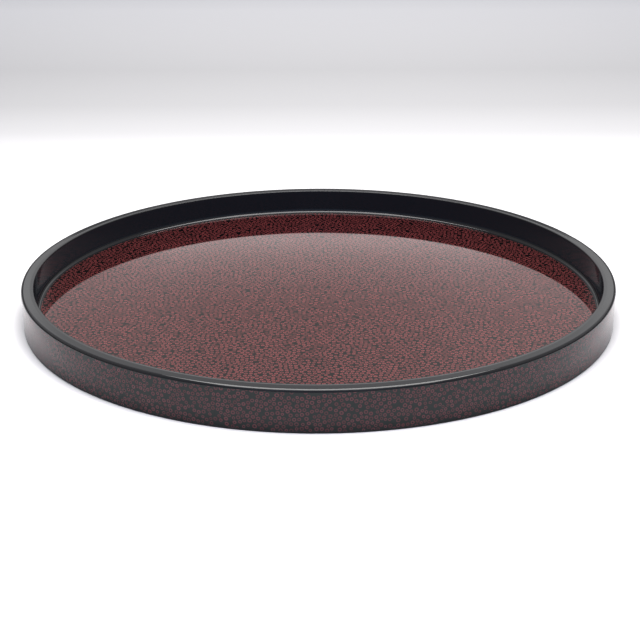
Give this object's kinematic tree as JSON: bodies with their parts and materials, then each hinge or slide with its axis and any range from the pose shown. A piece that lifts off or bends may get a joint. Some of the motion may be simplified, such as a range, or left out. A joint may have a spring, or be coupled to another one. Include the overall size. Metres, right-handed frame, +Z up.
{
  "type": "round serving tray",
  "caption": "Round low-rimmed serving tray of bentwood and plywood under polished black lacquer, with a dense pattern of fine red rings on its floor and outside wall.",
  "frame": {"origin": "centre of the circle on which the foot rests", "axes": "+Z up along the tray's axis of symmetry, X and Y level"},
  "size_m": [0.303, 0.303, 0.02],
  "materials": {
    "hoop_wood": "sanded bentwood, hidden under lacquer",
    "veneer_wood": "sanded veneer, hidden under cloth",
    "hemp_cloth": "hemp cloth set in lacquer paste, hidden",
    "wood_putty": "wood flour and lacquer putty, hidden",
    "black_lacquer": "mirror-polished black lacquer",
    "ringed_lacquer": "mirror-polished lacquer with small red rings on a black-green ground"
  },
  "bodies": {
    "root": {"outer_hoop": "hoop_wood", "inner_hoop": "hoop_wood", "foot_hoop": "hoop_wood", "board_back_ply": "veneer_wood", "board_core_ply": "veneer_wood", "board_face_ply": "veneer_wood", "floor_cloth": "hemp_cloth", "underside_cloth": "hemp_cloth", "floor_cove_putty": "wood_putty", "underside_cove_putty": "wood_putty", "rim_black_coat": "black_lacquer", "wall_pattern_coat": "ringed_lacquer", "floor_pattern_coat": "ringed_lacquer", "foot_black_coat": "black_lacquer", "underside_black_coat": "black_lacquer"}
  },
  "joints": []
}
